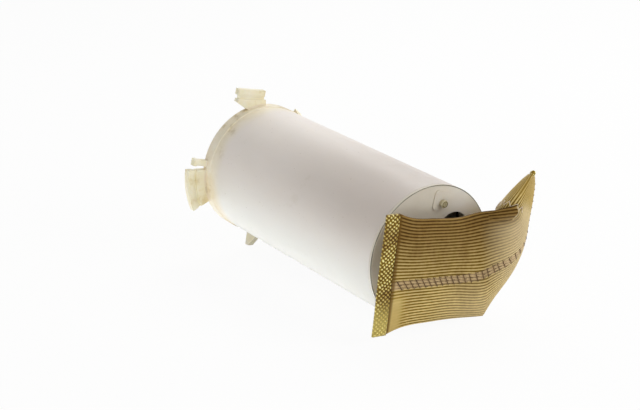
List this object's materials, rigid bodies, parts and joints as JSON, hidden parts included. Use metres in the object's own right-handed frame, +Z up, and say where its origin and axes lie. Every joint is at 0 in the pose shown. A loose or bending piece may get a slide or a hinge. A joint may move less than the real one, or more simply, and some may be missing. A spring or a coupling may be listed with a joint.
{
  "type": "fuel pump module",
  "caption": "In-tank fuel pump module: white cylindrical reservoir with rim lugs, base with inlet, electric turbine pump inside, and a ribbed mesh strainer sock.",
  "frame": {"origin": "centre of the reservoir tube's open mouth, in the plane of its rim", "axes": "+X along the tube from the mouth to the base and the strainer, +Z up as the module lies in the picture, +Y away to the right"},
  "size_m": [0.2552, 0.1526, 0.1226],
  "materials": {
    "reservoir_plastic": "translucent warm white moulded plastic, satin",
    "base_plastic": "off-white moulded plastic, satin",
    "valve_plastic": "cream plastic, aged yellow",
    "inner_plastic": "natural plastic, satin",
    "isolator_rubber": "black moulded rubber",
    "shell_steel": "zinc-plated drawn steel",
    "cover_aluminium": "die-cast, machined faces",
    "cap_plastic": "black glass-filled plastic",
    "impeller_plastic": "brown phenolic",
    "bearing_bronze": "sintered bronze",
    "thrust_steel": "hardened, ground",
    "shaft_steel": "ground",
    "core_steel": "stacked laminations",
    "winding_copper": "enamelled copper wire",
    "commutator_copper": "turned copper bars",
    "magnet_ferrite": "matt dark grey ferrite",
    "brush_carbon": "carbon",
    "spring_steel": "drawn spring wire",
    "terminal_brass": "tinned brass blades",
    "sock_mesh": "ribbed nylon mesh, fuel-stained gold tan",
    "band_mesh": "welded mesh, knurled, gold",
    "frame_plastic": "natural plastic"
  },
  "bodies": {
    "reservoir": {"reservoir_tube": "reservoir_plastic", "base_cap": "base_plastic", "lower_isolator": "isolator_rubber", "upper_isolator": "isolator_rubber", "pump_cradle": "inner_plastic", "pump_shell": "shell_steel", "inlet_cover": "cover_aluminium", "impeller_housing": "cover_aluminium", "lower_bush": "bearing_bronze", "upper_bush": "bearing_bronze", "thrust_pad": "thrust_steel", "field_magnets": "magnet_ferrite", "outlet_cap": "cap_plastic", "outlet_nipple": "cap_plastic", "check_spring": "spring_steel", "relief_spring": "spring_steel", "relief_plug": "bearing_bronze", "brush_spring_a": "spring_steel", "brush_spring_b": "spring_steel", "terminal_blades": "terminal_brass", "sock_frame": "frame_plastic", "strainer_neck": "frame_plastic", "push_nut": "spring_steel", "strainer_sock": "sock_mesh", "left_band": "band_mesh", "right_band": "band_mesh"},
    "rotor": {"rotor_shaft": "shaft_steel", "armature_core": "core_steel", "armature_windings": "winding_copper", "commutator": "commutator_copper", "impeller": "impeller_plastic"},
    "check_valve": {"check_poppet": "valve_plastic"},
    "relief_valve": {"relief_ball": "thrust_steel"},
    "fill_valve": {"fill_valve": "valve_plastic"},
    "brush_a": {"brush_a": "brush_carbon"},
    "brush_b": {"brush_b": "brush_carbon"}
  },
  "joints": [
    {"name": "rotor_spin", "type": "hinge", "parent": "reservoir", "child": "rotor", "pos_m": [0.148, 0.018, 0.013], "axis": [1, 0, 0], "continuous": true},
    {"name": "check_valve_lift", "type": "slide", "parent": "reservoir", "child": "check_valve", "axis": [-1, 0, 0], "range_m": [0, 0.002], "stiffness_N_per_m": 60, "springref_m": -0.002, "deforming": ["check_spring"]},
    {"name": "relief_valve_lift", "type": "slide", "parent": "reservoir", "child": "relief_valve", "axis": [-1, 0, 0], "range_m": [0, 0.001], "stiffness_N_per_m": 300, "springref_m": -0.002, "deforming": ["relief_spring"]},
    {"name": "fill_valve_lift", "type": "slide", "parent": "reservoir", "child": "fill_valve", "axis": [-1, 0, 0], "range_m": [0, 0.002]},
    {"name": "brush_a_slide", "type": "slide", "parent": "reservoir", "child": "brush_a", "axis": [0, 0, 1], "range_m": [0, 0.0015], "stiffness_N_per_m": 150, "springref_m": -0.003, "deforming": ["brush_spring_a"]},
    {"name": "brush_b_slide", "type": "slide", "parent": "reservoir", "child": "brush_b", "axis": [0, 0, -1], "range_m": [0, 0.0015], "stiffness_N_per_m": 150, "springref_m": -0.003, "deforming": ["brush_spring_b"]}
  ]
}
